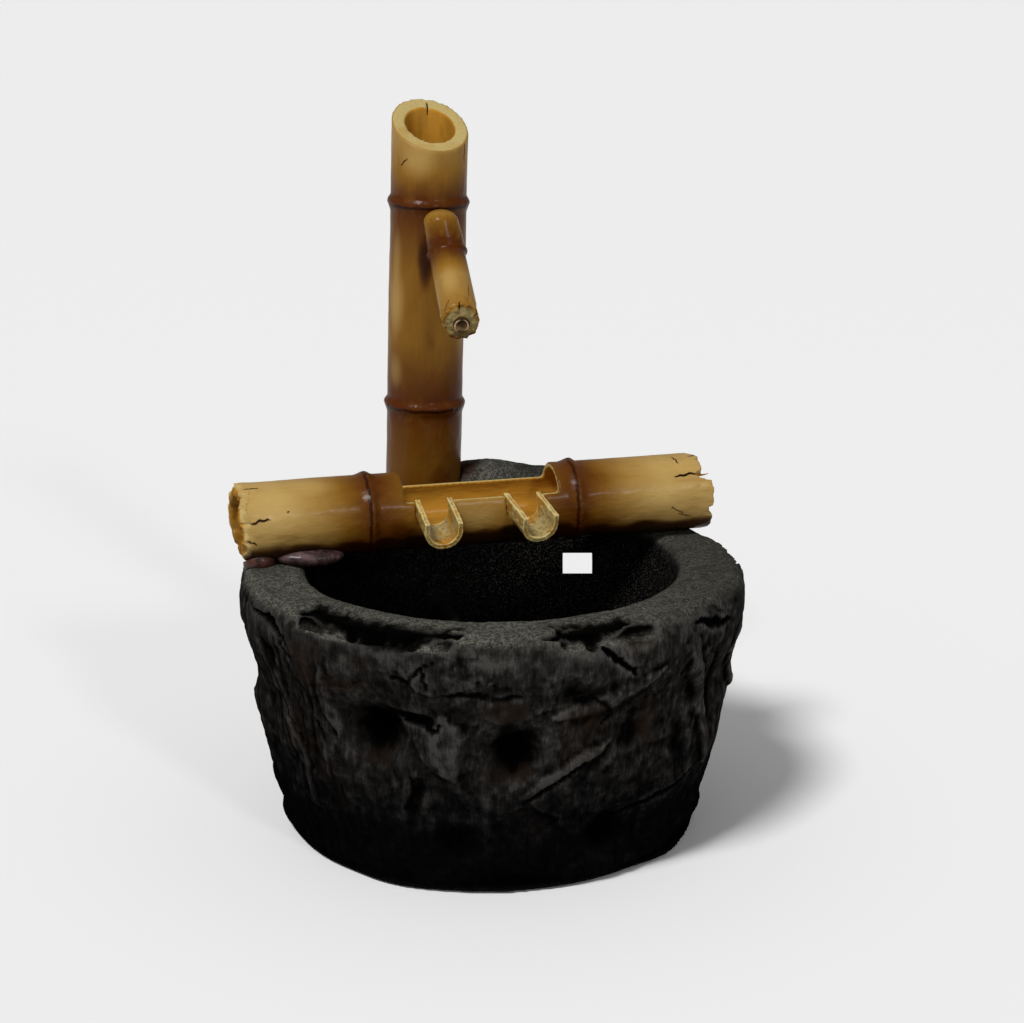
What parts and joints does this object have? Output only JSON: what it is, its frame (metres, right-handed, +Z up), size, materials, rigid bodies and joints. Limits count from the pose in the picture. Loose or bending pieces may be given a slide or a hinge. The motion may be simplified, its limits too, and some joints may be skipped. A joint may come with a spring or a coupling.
{
  "type": "cascade fountain",
  "caption": "Cascade fountain in cast resin: a bamboo-look post with a branch spout, a bamboo-look trough with pouring lips and a rock-look basin with a hidden pump.",
  "frame": {"origin": "on the ground, on the axis of the round basin", "axes": "+Z up, -Y to the front where the trough pours, +X to the right seen from the front"},
  "size_m": [0.4325, 0.423, 0.5812],
  "materials": {
    "rock_resin": "matte",
    "bamboo_resin": "gloss",
    "pebble_resin": "satin",
    "panel_plastic": "matte",
    "pump_plastic": "satin",
    "potting_resin": "matte",
    "rubber_black": "matte",
    "hose_vinyl": "gloss",
    "steel": "satin",
    "copper_wire": "satin",
    "ferrite": "matte",
    "ceramic_shaft": "polished"
  },
  "bodies": {
    "fountain": {"base_panel": "panel_plastic", "base_ring": "rubber_black", "basin_shell": "rock_resin", "bowl_liner": "rock_resin", "branch_spout": "bamboo_resin", "bush_front": "rubber_black", "bush_rear": "rubber_black", "coil_left": "copper_wire", "coil_right": "copper_wire", "cord_duct": "rock_resin", "cord_gland": "rubber_black", "hose_grommet": "rubber_black", "motor_seal": "potting_resin", "outlet_adapter": "pump_plastic", "panel_screws": "steel", "pebble_oval": "pebble_resin", "pebble_small": "pebble_resin", "post_culm": "bamboo_resin", "pump_housing": "pump_plastic", "rotor_shaft": "ceramic_shaft", "stator_core": "steel", "suction_cups": "rubber_black", "trough_culm": "bamboo_resin", "trough_lip_left": "bamboo_resin", "trough_lip_right": "bamboo_resin", "volute_cover": "pump_plastic", "water_hose": "hose_vinyl"},
    "rotor": {"impeller": "pump_plastic", "rotor_magnet": "ferrite"},
    "dial": {"flow_dial": "pump_plastic"},
    "strainer": {"strainer_cover": "pump_plastic"}
  },
  "joints": [
    {"name": "impeller_spin", "type": "hinge", "parent": "fountain", "child": "rotor", "pos_m": [-0.028, 0.036, 0.067], "axis": [1, 0, 0], "continuous": true},
    {"name": "flow_dial_turn", "type": "hinge", "parent": "fountain", "child": "dial", "pos_m": [-0.01, 0.036, 0.067], "axis": [1, 0, 0], "range_deg": [0, 90]},
    {"name": "strainer_slide", "type": "slide", "parent": "fountain", "child": "strainer", "axis": [1, 0, 0], "range_m": [0, 0.02]}
  ]
}
